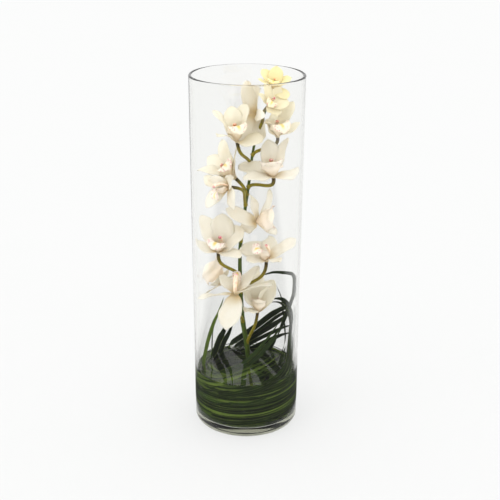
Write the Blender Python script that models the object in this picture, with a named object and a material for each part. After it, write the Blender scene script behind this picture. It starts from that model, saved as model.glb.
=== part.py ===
"""A cut cymbidium orchid stem in a tall glass cylinder vase, with blades of lily grass coiled in its water.

Metres, +Z up. The origin is the middle of the vase's foot, on the surface that the vase stands on.
A bearing is an angle round the vase in degrees: 0 is the front (-Y), 90 the right (+X), 180 the back.
"""

import math
from collections import namedtuple

import bmesh
import bpy
from mathutils import Vector

# Driving dimensions.
GAP = 0.0003

VASE_HEIGHT = 0.500
VASE_TOP_RADIUS = 0.077
VASE_FOOT_RADIUS = 0.073
VASE_WALL = 0.004
VASE_FLOOR = 0.015
FOOT_ROUND = 0.010
INNER_ROUND = 0.003
VASE_SEGMENTS = 48

WATER_LEVEL = 0.081
WATER_CORE_RADIUS = 0.050
CUTTER_PAST = 0.020

STEM_FOOT_RADIUS = 0.0042
STEM_TOP_RADIUS = 0.0018
STALK_RADIUS = 0.0015
OVARY_RADIUS = 0.0022
OVARY_NECK = 0.0015
STEM_SIDES = 9
STALK_SIDES = 7
STALK_STEPS = 7
STALK_LEAVE = 0.35
STALK_RISE = 0.6
STALK_ARRIVE = 0.45

BLOOM_LENGTH = 0.050
HUB_RADIUS = 0.0045
HUB_THICKNESS = 0.003
TEPAL_THICKNESS = 0.0012
TEPAL_EDGE = 0.0005
LIP_THICKNESS = 0.0010
COLUMN_SIDES = 7

BLADE_THICKNESS = 0.0007
COIL_OUTER_RADIUS = 0.0682
COIL_LAYER = 0.0011
BLADE_CUT_END = 0.55
BLADE_TIP = 0.12
COIL_STEPS = 26
RING_STEPS = 3

# The main stem, from its cut foot on the vase's floor to its tip.
STEM_POINTS = (
    (0.004, 0.040, VASE_FLOOR + GAP),
    (0.002, 0.041, 0.080),
    (-0.006, 0.034, 0.141),
    (-0.009, 0.026, 0.205),
    (-0.009, 0.021, 0.252),
    (-0.004, 0.017, 0.297),
    (0.003, 0.015, 0.349),
    (0.009, 0.012, 0.398),
    (0.020, 0.010, 0.437),
    (0.030, 0.008, 0.464),
)

# Each bloom: its hub's place, the bearing and the tilt above level that it faces, its roll, the length of
# a tepal, how far the tepals lift forward, and the height at which its stalk leaves the main stem.
Bloom = namedtuple("Bloom", "hub facing tilt roll length lift joint")
BLOOMS = (
    Bloom((0.035, 0.005, 0.484), 12, 65, 23, 0.027, 30, 0.462),
    Bloom((0.027, -0.016, 0.462), 40, 45, 55, 0.032, 32, 0.437),
    Bloom((0.013, 0.007, 0.449), 227, 3, 81, 0.043, 7, 0.412),
    Bloom((-0.013, -0.022, 0.416), -30, 75, -40, 0.046, 38, 0.374),
    Bloom((0.0403, -0.010, 0.420), -9, 68, -18, 0.045, 36, 0.388),
    Bloom((0.035, -0.018, 0.367), -25, 72, -25, 0.050, 33, 0.342),
    Bloom((-0.0163, 0.0030, 0.3591), -80, 46, -104, 0.049, 44, 0.331),
    Bloom((-0.0263, -0.033, 0.3455), -62, -10, -13, 0.043, 40, 0.316),
    Bloom((0.0132, -0.0103, 0.300), 61, 20, -3, 0.046, 6, 0.262),
    Bloom((-0.038, -0.014, 0.259), 15, 68, 25, 0.050, 37, 0.205),
    Bloom((0.027, -0.016, 0.247), 0, 75, 22, 0.047, 31, 0.180),
    Bloom((-0.0312, 0.0256, 0.1952), -111, 40, -58, 0.044, 14, 0.165),
    Bloom((-0.015, -0.016, 0.196), 170, 85, 0, 0.052, 20, 0.130),
    Bloom((0.016, 0.004, 0.162), 20, 75, 0, 0.044, 42, 0.092),
)

# The tepals of one bloom: its clock angle from the top sepal, the widest it gets and its length, both as a
# part of the bloom's tepal length, how much more it lifts than the bloom's sepals do, in degrees, and how deep
# it is cupped, as a part of half its width. The petals stand in front of the sepals.
Tepal = namedtuple("Tepal", "clock width length extra_lift cup")
TEPALS = (
    Tepal(0, 0.40, 1.00, -1, 0.06),
    Tepal(60, 0.46, 0.96, 9, 0.16),
    Tepal(122, 0.38, 0.98, -5, 0.02),
    Tepal(238, 0.38, 0.98, -5, 0.02),
    Tepal(300, 0.46, 0.96, 9, 0.16),
)
HUB_SIDES = 12
HUB_EDGE = 0.87
ROOT_PLACE = 0.65
ROOT_WIDTH = 0.7
TEPAL_STATIONS = (0.14, 0.36, 0.60, 0.82, 0.97)
TEPAL_BENDS = 8
WIDEST = 0.58
BASE_RISE = 14
TIP_FALL = 34
PRESSED_ZONE = 0.010

# The tepals that a bloom holds in a way of its own: (bloom number, clock angle) to its lift in degrees.
OWN_LIFTS = {(13, 0): -58, (13, 122): 46, (13, 238): 46, (13, 300): 18, (13, 60): -2}

# The lip's middle line, forward and up from the hub at full size, with half its width and how far its sides
# curl, in degrees.
LIP_LINE = (
    (0.0021, -0.0034, 0.0018, 75),
    (0.0070, -0.0062, 0.0070, 80),
    (0.0125, -0.0080, 0.0100, 75),
    (0.0180, -0.0088, 0.0075, 48),
    (0.0230, -0.0120, 0.0088, 18),
    (0.0235, -0.0190, 0.0040, 5),
)
LIP_COLUMNS = 5

# The column's middle line, forward and up from the hub at full size, with its radius.
COLUMN_LINE = (
    (0.0024, 0.0020, 0.0018),
    (0.0080, 0.0032, 0.0021),
    (0.0145, 0.0026, 0.0026),
    (0.0190, 0.0006, 0.0029),
    (0.0216, -0.0018, 0.0019),
)

# Blades that coil under the water: start bearing, turns, height at the front and width. They climb to the
# right.
Coil = namedtuple("Coil", "start turns height width")
COIL_RISE = 0.018
COILS = (
    Coil(-80, 1.02, 0.0268, 0.0125),
    Coil(-170, 1.12, 0.0350, 0.0135),
    Coil(-60, 1.10, 0.0435, 0.0130),
    Coil(-130, 1.12, 0.0520, 0.0135),
    Coil(-90, 1.06, 0.0605, 0.0130),
    Coil(-200, 1.10, 0.0690, 0.0125),
)

# Blades that rise above the water: width, the bearing and height at which each starts and leaves the inside
# of the coil, and the points that it passes on its way up.
Rising = namedtuple("Rising", "width start leave points")
RISING = (
    Rising(0.0055, (150, 0.040), (105, 0.062), (
        (0.0608, 0.012, 0.090), (0.0665, 0.008, 0.130), (0.0682, 0.000, 0.180), (0.0655, -0.001, 0.212),
        (0.058, 0.004, 0.2215), (0.045, 0.014, 0.219), (0.027, 0.026, 0.211), (0.008, 0.036, 0.199))),
    Rising(0.0070, (40, 0.036), (72, 0.062), (
        (0.0608, -0.009, 0.088), (0.0640, 0.003, 0.112), (0.0635, 0.014, 0.138), (0.056, 0.031, 0.160),
        (0.046, 0.039, 0.166), (0.033, 0.042, 0.157), (0.021, 0.045, 0.140))),
    Rising(0.0035, (140, 0.062), (124, 0.076), (
        (0.050, 0.032, 0.098), (0.050, 0.027, 0.136), (0.046, 0.021, 0.172), (0.038, 0.020, 0.198))),
    Rising(0.0085, (215, 0.030), (178, 0.052), (
        (0.014, 0.0575, 0.070), (0.028, 0.050, 0.094), (0.044, 0.039, 0.113), (0.056, 0.023, 0.132),
        (0.0615, 0.004, 0.165), (0.063, -0.008, 0.196))),
    Rising(0.0075, (236, 0.056), (222, 0.072), (
        (-0.026, 0.0545, 0.086), (-0.009, 0.0585, 0.100), (0.027, 0.054, 0.126), (0.050, 0.034, 0.152),
        (0.058, 0.016, 0.172))),
    Rising(0.0070, (245, 0.028), (212, 0.056), (
        (-0.012, 0.0600, 0.078), (0.004, 0.0615, 0.090), (0.034, 0.0545, 0.112), (0.057, 0.0325, 0.135),
        (0.0645, 0.016, 0.147))),
    Rising(0.0065, (-60, 0.034), (-88, 0.066), (
        (-0.0612, 0.001, 0.088), (-0.059, 0.001, 0.112), (-0.052, 0.002, 0.138), (-0.044, 0.004, 0.160),
        (-0.036, 0.006, 0.182))),
    Rising(0.0030, (-103, 0.066), (-106, 0.078), (
        (-0.055, 0.019, 0.100), (-0.051, 0.017, 0.126), (-0.045, 0.013, 0.150), (-0.040, 0.011, 0.168))),
    Rising(0.0095, (-80, 0.040), (-122, 0.070), (
        (-0.044, 0.040, 0.086), (-0.036, 0.044, 0.104), (-0.028, 0.047, 0.124), (-0.022, 0.048, 0.142))),
)


def finish(name, colour, roughness, transmission=0.0, ior=1.5):
    """A Principled BSDF material."""
    material = bpy.data.materials.new(name)
    material.use_nodes = True
    shader = material.node_tree.nodes["Principled BSDF"]
    shader.inputs["Base Color"].default_value = (*colour, 1.0)
    shader.inputs["Roughness"].default_value = roughness
    shader.inputs["Transmission Weight"].default_value = transmission
    shader.inputs["IOR"].default_value = ior
    return material


def add_piece(name, shape, material):
    """Turns a bmesh into a named object with its faces pointing out."""
    bmesh.ops.recalc_face_normals(shape, faces=shape.faces)
    mesh = bpy.data.meshes.new(name)
    shape.to_mesh(mesh)
    shape.free()
    mesh.shade_smooth()
    mesh.set_sharp_from_angle(angle=math.radians(40))
    mesh.materials.append(material)
    piece = bpy.data.objects.new(name, mesh)
    bpy.context.scene.collection.objects.link(piece)
    return piece


def join_parts(piece, parts):
    """Joins solids to a piece with a Boolean union, so that what grew as one is one body."""
    group = bpy.data.collections.new(piece.name + "_parts")
    bpy.context.scene.collection.children.link(group)
    for part in parts:
        bpy.context.scene.collection.objects.unlink(part)
        group.objects.link(part)
        part.hide_render = True
        part.display_type = "WIRE"
    join = piece.modifiers.new("joined", "BOOLEAN")
    join.operation = "UNION"
    join.operand_type = "COLLECTION"
    join.collection = group


def bridge(shape, rings):
    """Joins rings of vertices, each to the next, with quads."""
    for lower, upper in zip(rings, rings[1:]):
        count = len(lower)
        for i in range(count):
            j = (i + 1) % count
            shape.faces.new((lower[i], lower[j], upper[j], upper[i]))


def skin(shape, outlines):
    """A closed solid through a row of outlines with the same number of points."""
    rings = [[shape.verts.new(point) for point in outline] for outline in outlines]
    bridge(shape, rings)
    shape.faces.new(rings[0])
    shape.faces.new(rings[-1])
    return rings


def smooth_line(points, steps):
    """A smooth curve through the points (Catmull-Rom), with the given number of steps between two of them."""
    points = [Vector(point) for point in points]
    ends = [points[0] * 2 - points[1], *points, points[-1] * 2 - points[-2]]
    line = []
    for a, b, c, d in zip(ends, ends[1:], ends[2:], ends[3:]):
        for step in range(steps):
            t = step / steps
            line.append(0.5 * (2 * b + (c - a) * t + (2 * a - 5 * b + 4 * c - d) * t**2
                               + (3 * b - a - 3 * c + d) * t**3))
    line.append(points[-1])
    return line


def tangents(line):
    """The direction of the line at each of its points."""
    padded = [line[0], *line, line[-1]]
    return [(after - before).normalized() for before, after in zip(padded, padded[2:])]


def tube_outlines(line, radii, sides):
    """Round outlines square to the line."""
    across = tangents(line)[0].orthogonal().normalized()
    outlines = []
    for point, direction, radius in zip(line, tangents(line), radii):
        across = (across - across.dot(direction) * direction).normalized()
        other = direction.cross(across)
        outlines.append([
            point + radius * (math.cos(turn) * across + math.sin(turn) * other)
            for turn in (2 * math.pi * k / sides for k in range(sides))
        ])
    return outlines


def bearing_direction(bearing):
    """The level direction at a bearing."""
    angle = math.radians(bearing)
    return Vector((math.sin(angle), -math.cos(angle), 0.0))


def arc(centre, radius, start, end, steps):
    """Points (radius, height) along an arc of a turned profile, from one angle to the other in degrees."""
    points = []
    for step in range(steps + 1):
        angle = math.radians(start + (end - start) * step / steps)
        points.append((centre[0] + radius * math.cos(angle), centre[1] + radius * math.sin(angle)))
    return points


# ---- The vase and its water ----


def outer_radius(height):
    return VASE_FOOT_RADIUS + (VASE_TOP_RADIUS - VASE_FOOT_RADIUS) * height / VASE_HEIGHT


def inner_radius(height):
    return outer_radius(height) - VASE_WALL


def turned(profile, segments):
    """A solid turned from a profile of (radius, height) that starts and ends on the axis."""
    shape = bmesh.new()
    corners = [shape.verts.new((radius, 0.0, height)) for radius, height in profile]
    edges = [shape.edges.new(pair) for pair in zip(corners, corners[1:])]
    bmesh.ops.spin(shape, geom=corners + edges, axis=(0, 0, 1), cent=(0, 0, 0),
                   angle=2 * math.pi, steps=segments)
    bmesh.ops.remove_doubles(shape, verts=shape.verts, dist=1e-6)
    return shape


def glass_vase():
    """A straight glass cylinder with a heavy floor, a rounded foot and a fire-polished rim."""
    foot = (outer_radius(FOOT_ROUND) - FOOT_ROUND, FOOT_ROUND)
    rim_round = VASE_WALL / 2
    rim = (outer_radius(VASE_HEIGHT) - rim_round, VASE_HEIGHT - rim_round)
    inside_height = VASE_FLOOR + INNER_ROUND
    inside = (inner_radius(inside_height) - INNER_ROUND, inside_height)
    profile = [(0.0, 0.0)]
    profile += arc(foot, FOOT_ROUND, -90, 0, 4)
    profile += arc(rim, rim_round, 0, 180, 4)
    profile += arc(inside, INNER_ROUND, 0, -90, 3)
    profile += [(0.0, VASE_FLOOR)]
    glass = finish("clear_glass", (1, 1, 1), 0.02, 1.0, 1.5)
    add_piece("glass_vase", turned(profile, VASE_SEGMENTS), glass)


def water(stem):
    """The body of water inside the coiled blades, with a hole where the stem stands in it."""
    bottom = VASE_FLOOR + GAP
    side = WATER_CORE_RADIUS
    profile = [(0.0, bottom), (side, bottom), (side, WATER_LEVEL), (0.0, WATER_LEVEL)]
    clear = finish("still_water", (1, 1, 1), 0.0, 1.0, 1.333)
    body = add_piece("water", turned(profile, VASE_SEGMENTS), clear)
    line = [point for point in stem if point.z < WATER_LEVEL + CUTTER_PAST]
    line[0] = line[0] - Vector((0, 0, CUTTER_PAST / 5))
    hole = bmesh.new()
    skin(hole, tube_outlines(line, [STEM_FOOT_RADIUS + 2 * GAP] * len(line), STEM_SIDES + 3))
    cutter = add_piece("stem_hole", hole, body.data.materials[0])
    cutter.hide_render = True
    cutter.display_type = "WIRE"
    cut = body.modifiers.new("stem hole", "BOOLEAN")
    cut.operation = "DIFFERENCE"
    cut.object = cutter


# ---- The flower stem ----


def stem_line():
    return smooth_line(STEM_POINTS, 3)


def stem_point(line, height):
    """The point on the stem's middle line at a height."""
    for lower, upper in zip(line, line[1:]):
        if lower.z <= height <= upper.z:
            return lower.lerp(upper, (height - lower.z) / (upper.z - lower.z))
    return line[-1]


def stem_radius(height):
    part = min(1.0, max(0.0, (height - VASE_FLOOR) / (STEM_POINTS[-1][2] - VASE_FLOOR)))
    return STEM_FOOT_RADIUS + (STEM_TOP_RADIUS - STEM_FOOT_RADIUS) * part


def stalk_outlines(bloom, line):
    """A bloom's stalk: out of the stem, up and round to the back of its hub, with the ovary at its end."""
    forward = bloom_axes(bloom)[1]
    size = bloom.length / BLOOM_LENGTH
    start = stem_point(line, bloom.joint)
    end = Vector(bloom.hub) - forward * (HUB_THICKNESS / 2 * size + GAP + OVARY_NECK)
    reach = (end - start).length
    leaving = (end - start).normalized() + Vector((0, 0, STALK_RISE))
    leaving = start + STALK_LEAVE * reach * leaving.normalized()
    arriving = end - STALK_ARRIVE * reach * forward
    route = []
    for step in range(STALK_STEPS + 1):
        t = step / STALK_STEPS
        route.append(start * (1 - t) ** 3 + leaving * 3 * t * (1 - t) ** 2
                     + arriving * 3 * t**2 * (1 - t) + end * t**3)
    route.append(end + OVARY_NECK * forward)
    thin = STALK_RADIUS * (0.6 + 0.4 * size)
    thick = OVARY_RADIUS * size
    radii = [thin + (thick - thin) * max(0.0, 2 * step / STALK_STEPS - 1)
             for step in range(STALK_STEPS + 1)]
    return tube_outlines(route, [*radii, thick], STALK_SIDES)


def flower_stem():
    """The main stem and the stalks to the blooms, grown as one."""
    line = stem_line()
    green = finish("orchid_stem", (0.09, 0.13, 0.02), 0.45)
    main = bmesh.new()
    skin(main, tube_outlines(line, [stem_radius(point.z) for point in line], STEM_SIDES))
    stem = add_piece("flower_stem", main, green)
    stalks = []
    for number, bloom in enumerate(BLOOMS, 1):
        shape = bmesh.new()
        skin(shape, stalk_outlines(bloom, line))
        stalks.append(add_piece(f"stalk_{number:02d}", shape, green))
    join_parts(stem, stalks)
    return line


# ---- The blooms ----


def bloom_axes(bloom):
    """A bloom's own axes: right, forward (the way it faces) and up (to its top sepal)."""
    tilt = math.radians(bloom.tilt)
    roll = math.radians(bloom.roll)
    level = bearing_direction(bloom.facing)
    forward = level * math.cos(tilt) + Vector((0.0, 0.0, math.sin(tilt)))
    level_up = level * -math.sin(tilt) + Vector((0.0, 0.0, math.cos(tilt)))
    level_right = level_up.cross(forward)
    up = level_up * math.cos(roll) + level_right * math.sin(roll)
    return up.cross(forward), forward, up


def inside_glass(point):
    """Eases a point that nears the wall of the vase back inside it, as a petal bends against the glass."""
    limit = inner_radius(point.z) - 2 * GAP
    free = limit - PRESSED_ZONE
    reach = math.hypot(point.x, point.y)
    if reach <= free:
        return point
    eased = free + (limit - free) * math.tanh((reach - free) / (limit - free))
    return Vector((point.x * eased / reach, point.y * eased / reach, point.z))


def place(bloom, right, forward, up):
    """A point of a full-size bloom, put where this bloom is."""
    size = bloom.length / BLOOM_LENGTH
    axes = bloom_axes(bloom)
    return inside_glass(Vector(bloom.hub) + size * (right * axes[0] + forward * axes[1] + up * axes[2]))


def tepal_width(part):
    """The outline of a tepal: narrow at its base, widest past the middle, round at its tip."""
    return 0.06 * (1 - part) ** 2 + (part / WIDEST) ** 0.82 * ((1 - part) / (1 - WIDEST)) ** 0.5


def tepal_slope(lift, part):
    """How steeply a tepal rises at a part of its length: most at its base, and it bends back to its tip."""
    return math.radians(lift + BASE_RISE - TIP_FALL * part**1.4)


def tepal_outline(tepal, part, lift):
    """Six points round a tepal at one station along it, in the bloom's own right, forward, up."""
    clock = math.radians(tepal.clock)
    out = Vector((math.sin(clock), 0.0, math.cos(clock)))
    side = Vector((math.cos(clock), 0.0, -math.sin(clock)))
    forward = Vector((0.0, 1.0, 0.0))
    stride = (tepal.length * BLOOM_LENGTH - HUB_RADIUS) * part / TEPAL_BENDS
    centre = out * HUB_RADIUS * HUB_EDGE
    for bend in range(TEPAL_BENDS):
        angle = tepal_slope(lift, part * (bend + 0.5) / TEPAL_BENDS)
        centre = centre + stride * (out * math.cos(angle) + forward * math.sin(angle))
    angle = tepal_slope(lift, part)
    face = forward * math.cos(angle) - out * math.sin(angle)
    half = tepal.width * BLOOM_LENGTH / 2 * tepal_width(part)
    cup = tepal.cup * half
    return [
        centre - side * half + face * (TEPAL_EDGE / 2 + cup),
        centre + face * TEPAL_THICKNESS / 2,
        centre + side * half + face * (TEPAL_EDGE / 2 + cup),
        centre + side * half + face * (cup - TEPAL_EDGE / 2),
        centre - face * TEPAL_THICKNESS / 2,
        centre - side * half + face * (cup - TEPAL_EDGE / 2),
    ]


def tepal_root(clock):
    """Six points round a tepal where it leaves the inside of the hub."""
    clock = math.radians(clock)
    out = Vector((math.sin(clock), 0.0, math.cos(clock)))
    side = Vector((math.cos(clock), 0.0, -math.sin(clock))) * HUB_RADIUS * ROOT_WIDTH / 2
    face = Vector((0.0, TEPAL_THICKNESS / 2, 0.0))
    centre = out * HUB_RADIUS * ROOT_PLACE
    return [
        centre - side + face, centre + face, centre + side + face,
        centre + side - face, centre - face, centre - side - face,
    ]


def bloom_tepals(number, bloom, material):
    """Three sepals and two petals, grown from the round top of the ovary."""
    shape = bmesh.new()
    rings = []
    for forward in (-HUB_THICKNESS / 2, HUB_THICKNESS / 2):
        angles = [2 * math.pi * side / HUB_SIDES for side in range(HUB_SIDES)]
        rings.append([place(bloom, HUB_RADIUS * math.sin(angle), forward, HUB_RADIUS * math.cos(angle))
                      for angle in angles])
    skin(shape, rings)
    hub = add_piece(f"bloom_{number:02d}_tepals", shape, material)
    parts = []
    for tepal in TEPALS:
        lift = OWN_LIFTS.get((number, tepal.clock), bloom.lift + tepal.extra_lift)
        outlines = [tepal_root(tepal.clock)]
        outlines += [tepal_outline(tepal, part, lift) for part in TEPAL_STATIONS]
        shape = bmesh.new()
        skin(shape, [[place(bloom, *point) for point in outline] for outline in outlines])
        parts.append(add_piece(f"tepal_{number:02d}_{tepal.clock}", shape, material))
    join_parts(hub, parts)


def bloom_lip(number, bloom, material):
    """The lip: a boat whose sides curl up round the column, and a front lobe that turns down."""
    shape = bmesh.new()
    line = [Vector((0.0, forward, up)) for forward, up, _, _ in LIP_LINE]
    upper, lower = [], []
    for (_, _, half, curl), centre, along in zip(LIP_LINE, line, tangents(line)):
        inward = Vector((0.0, -along.z, along.y))
        curl = math.radians(curl)
        bend = half / curl
        upper_row, lower_row = [], []
        for column in range(LIP_COLUMNS):
            angle = curl * (2 * column / (LIP_COLUMNS - 1) - 1)
            toward = inward * math.cos(angle) - Vector((1.0, 0.0, 0.0)) * math.sin(angle)
            point = centre + inward * bend - toward * bend
            upper_row.append(shape.verts.new(place(bloom, *point)))
            lower_row.append(shape.verts.new(place(bloom, *(point - toward * LIP_THICKNESS))))
        upper.append(upper_row)
        lower.append(lower_row)
    bridge(shape, [row + list(reversed(under)) for row, under in zip(upper, lower)])
    for row, under in ((upper[0], lower[0]), (upper[-1], lower[-1])):
        for column in range(LIP_COLUMNS - 1):
            shape.faces.new((row[column], row[column + 1], under[column + 1], under[column]))
    add_piece(f"bloom_{number:02d}_lip", shape, material)


def bloom_column(number, bloom, material):
    """The column, which arches over the lip and ends in the anther cap."""
    line = [Vector((0.0, forward, up)) for forward, up, _ in COLUMN_LINE]
    outlines = tube_outlines(line, [radius for _, _, radius in COLUMN_LINE], COLUMN_SIDES)
    shape = bmesh.new()
    skin(shape, [[place(bloom, *point) for point in outline] for outline in outlines])
    add_piece(f"bloom_{number:02d}_column", shape, material)


def blooms():
    cream = finish("orchid_tepal", (0.88, 0.84, 0.70), 0.5)
    spotted = finish("orchid_lip", (0.90, 0.82, 0.68), 0.5)
    waxy = finish("orchid_column", (0.86, 0.74, 0.60), 0.4)
    for number, bloom in enumerate(BLOOMS, 1):
        bloom_tepals(number, bloom, cream)
        bloom_lip(number, bloom, spotted)
        bloom_column(number, bloom, waxy)


# ---- The grass blades ----


def blade_outline(point, along, facing, width):
    """A blade's section: a flat lens with sharp edges, its flat turned to the facing direction."""
    face = (facing - facing.dot(along) * along).normalized()
    side = along.cross(face)
    return [
        point - side * width / 2,
        point + face * BLADE_THICKNESS / 2,
        point + side * width / 2,
        point - face * BLADE_THICKNESS / 2,
    ]


def blade_width(part, width):
    """A blade tapers to its tip, and a little to its cut end."""
    return width * min(1.0, BLADE_CUT_END + 2 * part, BLADE_TIP + 3 * (1 - part))


def add_blade(name, line, facings, width, material):
    parts = [step / (len(line) - 1) for step in range(len(line))]
    outlines = [
        blade_outline(point, along, facing, blade_width(part, width))
        for point, along, facing, part in zip(line, tangents(line), facings, parts)
    ]
    shape = bmesh.new()
    skin(shape, outlines)
    add_piece(name, shape, material)


def coiled_blades(material):
    """Wide blades that spring outwards against the glass, each inside the one before it."""
    for number, coil in enumerate(COILS, 1):
        radius = COIL_OUTER_RADIUS - COIL_LAYER * (number - 1)
        steps = round(COIL_STEPS * coil.turns)
        line, facings = [], []
        for step in range(steps + 1):
            turn = coil.start / 360 + coil.turns * step / steps
            outward = bearing_direction(360 * turn)
            line.append(outward * radius + Vector((0, 0, coil.height + COIL_RISE * turn)))
            facings.append(outward)
        add_blade(f"grass_coil_{number}", line, facings, coil.width, material)


def rising_blades(material):
    """Blades that leave the inside of the coil and stand above the water."""
    radius = COIL_OUTER_RADIUS - COIL_LAYER * len(COILS)
    for number, blade in enumerate(RISING, 1):
        points = []
        for step in range(RING_STEPS + 1):
            part = step / RING_STEPS
            outward = bearing_direction(blade.start[0] + (blade.leave[0] - blade.start[0]) * part)
            height = blade.start[1] + (blade.leave[1] - blade.start[1]) * part
            points.append(outward * radius + Vector((0, 0, height)))
        line = smooth_line(points + list(blade.points), 2)
        facings = [Vector((point.x, point.y, 0.0)).normalized() for point in line]
        add_blade(f"grass_blade_{number}", line, facings, blade.width, material)


def main():
    for old in list(bpy.data.objects):
        bpy.data.objects.remove(old)
    glass_vase()
    stem = flower_stem()
    water(stem)
    blooms()
    grass = finish("lily_grass", (0.04, 0.09, 0.02), 0.4)
    coiled_blades(grass)
    rising_blades(grass)


main()
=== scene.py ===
# A cut cymbidium orchid in a tall glass cylinder vase, with blades of lily grass coiled in its water.
# Metres, +Z up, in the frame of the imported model. A bearing is an angle round the vase in degrees: 0 is the
# front (-Y), 90 the right (+X), 180 the back.

import random
from collections import namedtuple
from math import copysign, cos, exp, hypot, pi, radians, sin, tanh

import bmesh
import bpy
from mathutils import Matrix, Vector


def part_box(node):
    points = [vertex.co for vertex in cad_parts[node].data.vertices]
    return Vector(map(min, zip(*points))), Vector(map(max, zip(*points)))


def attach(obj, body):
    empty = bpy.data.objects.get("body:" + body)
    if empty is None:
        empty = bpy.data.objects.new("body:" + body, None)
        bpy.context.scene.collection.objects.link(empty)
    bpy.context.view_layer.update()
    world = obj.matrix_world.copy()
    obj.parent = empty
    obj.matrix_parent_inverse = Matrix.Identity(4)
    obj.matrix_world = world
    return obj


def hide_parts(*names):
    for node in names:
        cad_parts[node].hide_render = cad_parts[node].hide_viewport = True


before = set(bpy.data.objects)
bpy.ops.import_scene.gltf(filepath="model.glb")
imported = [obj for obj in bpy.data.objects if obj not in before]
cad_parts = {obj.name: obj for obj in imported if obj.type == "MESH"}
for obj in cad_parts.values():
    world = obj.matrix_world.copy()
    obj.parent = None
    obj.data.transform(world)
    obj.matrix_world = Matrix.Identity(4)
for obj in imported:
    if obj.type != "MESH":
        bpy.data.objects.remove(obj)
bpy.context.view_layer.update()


# ---- The vase ----
# A cylinder of clear soda-lime glass, made in one piece: a thin wall with a fire-polished rim on a heavy
# floor with a rounded foot. It stands on the table by its own weight.

VASE_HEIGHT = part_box("glass_vase")[1].z
VASE_TOP_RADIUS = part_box("glass_vase")[1].x
VASE_FOOT_RADIUS = 0.073
VASE_WALL = 0.004
VASE_FLOOR = 0.015
FOOT_ROUND = 0.01
INNER_ROUND = 0.003
TURNED_SEGMENTS = 224
# A ring of faces this wide beside each round, and one this far from the axis, keep the flats flat.
EDGE_KEEPER = 0.0004
AXIS_RING = 0.03


def linear(code):
    """An sRGB hex colour as linear RGBA."""
    channels = [int(code[i:i + 2], 16) / 255 for i in (1, 3, 5)]
    return (*(c / 12.92 if c <= 0.04045 else ((c + 0.055) / 1.055) ** 2.4 for c in channels), 1)


def add(tree, kind, inputs=(), output=None, **settings):
    """Adds a node, named without its prefix, and returns it or the output asked for. Inputs are in its order
    or by name or number: a value, a hex colour, a socket, or a node for its first output."""
    families = [family + kind for family in ("ShaderNode", "GeometryNode", "FunctionNode", "Node")]
    node = tree.nodes.new(next(name for name in families if hasattr(bpy.types, name)))
    for name, value in settings.items():
        setattr(node, name, value)
    for key, value in inputs.items() if isinstance(inputs, dict) else enumerate(inputs):
        if isinstance(value, bpy.types.Node):
            value = next(socket for socket in value.outputs if socket.enabled)
        if isinstance(value, bpy.types.NodeSocket):
            tree.links.new(value, node.inputs[key])
        else:
            node.inputs[key].default_value = linear(value) if str(value).startswith("#") else value
    return node.outputs[output] if output else node


def new_material(name, *marks):
    """An empty material, its tree, the place on the piece, and the numbers marked on the piece's mesh."""
    material = bpy.data.materials.new(name)
    material.use_nodes = True
    tree = material.node_tree
    tree.nodes.clear()
    place = add(tree, "TexCoord", output="Object")
    numbers = [add(tree, "Attribute", output="Fac", attribute_name=mark) for mark in marks]
    return material, tree, place, *numbers


def coated(tree, colour, grain, strength, depth, shine):
    """A surface of a colour, with a grain raised on it and the sockets of its shine."""
    relief = add(tree, "Bump", {"Strength": strength, "Distance": depth, "Height": grain})
    return add(tree, "BsdfPrincipled", {"Base Color": colour, "Normal": relief, **shine})


def clear_body(tree, ior, waves, strength, depth, tint, density):
    """Finishes a clear material: light on its way to what stands inside passes straight through."""
    shine = {"Roughness": 0, "IOR": ior, "Transmission Weight": 1}
    gloss = coated(tree, "#ffffff", waves, strength, depth, shine)
    path = add(tree, "LightPath").outputs
    passing = add(tree, "Math", (path["Is Shadow Ray"], path["Is Diffuse Ray"]), operation="MAXIMUM")
    surface = add(tree, "MixShader", (passing, gloss, add(tree, "BsdfTransparent")))
    body = add(tree, "VolumeAbsorption", {"Color": tint, "Density": density})
    add(tree, "OutputMaterial", {"Surface": surface, "Volume": body})


def shares(steps):
    """From 0 to 1 in so many steps."""
    return [step / steps for step in range(steps + 1)]


def arc(centre, radius, start, end, steps):
    """Points (radius, height) along an arc of a turned profile, from one angle to the other in degrees."""
    angles = [radians(start + (end - start) * share) for share in shares(steps)]
    return [(centre[0] + radius * cos(angle), centre[1] + radius * sin(angle)) for angle in angles]


def put(name, data):
    """A new object in the scene."""
    thing = bpy.data.objects.new(name, data)
    bpy.context.scene.collection.objects.link(thing)
    return thing


def new_piece(name, shape, material):
    """Turns a bmesh into a smooth object with its faces pointing out."""
    bmesh.ops.recalc_face_normals(shape, faces=shape.faces)
    mesh = bpy.data.meshes.new(name)
    shape.to_mesh(mesh)
    shape.free()
    mesh.shade_smooth()
    mesh.materials.append(material)
    return put(name, mesh)


def turned(profile):
    """A solid turned from a profile of (radius, height) that starts and ends on the axis."""
    shape = bmesh.new()
    corners = [shape.verts.new((radius, 0, height)) for radius, height in profile]
    edges = [shape.edges.new(pair) for pair in zip(corners, corners[1:])]
    bmesh.ops.spin(shape, geom=corners + edges, axis=(0, 0, 1), cent=(0, 0, 0), angle=2 * pi,
                   steps=TURNED_SEGMENTS)
    bmesh.ops.remove_doubles(shape, verts=shape.verts, dist=1e-6)
    return shape


def hand_over(piece, node):
    """The piece rides on the vase and stands for a CAD node."""
    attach(piece, "root")
    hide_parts(node)


def outer_radius(height):
    return VASE_FOOT_RADIUS + (VASE_TOP_RADIUS - VASE_FOOT_RADIUS) * height / VASE_HEIGHT


def inner_radius(height):
    return outer_radius(height) - VASE_WALL


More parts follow.
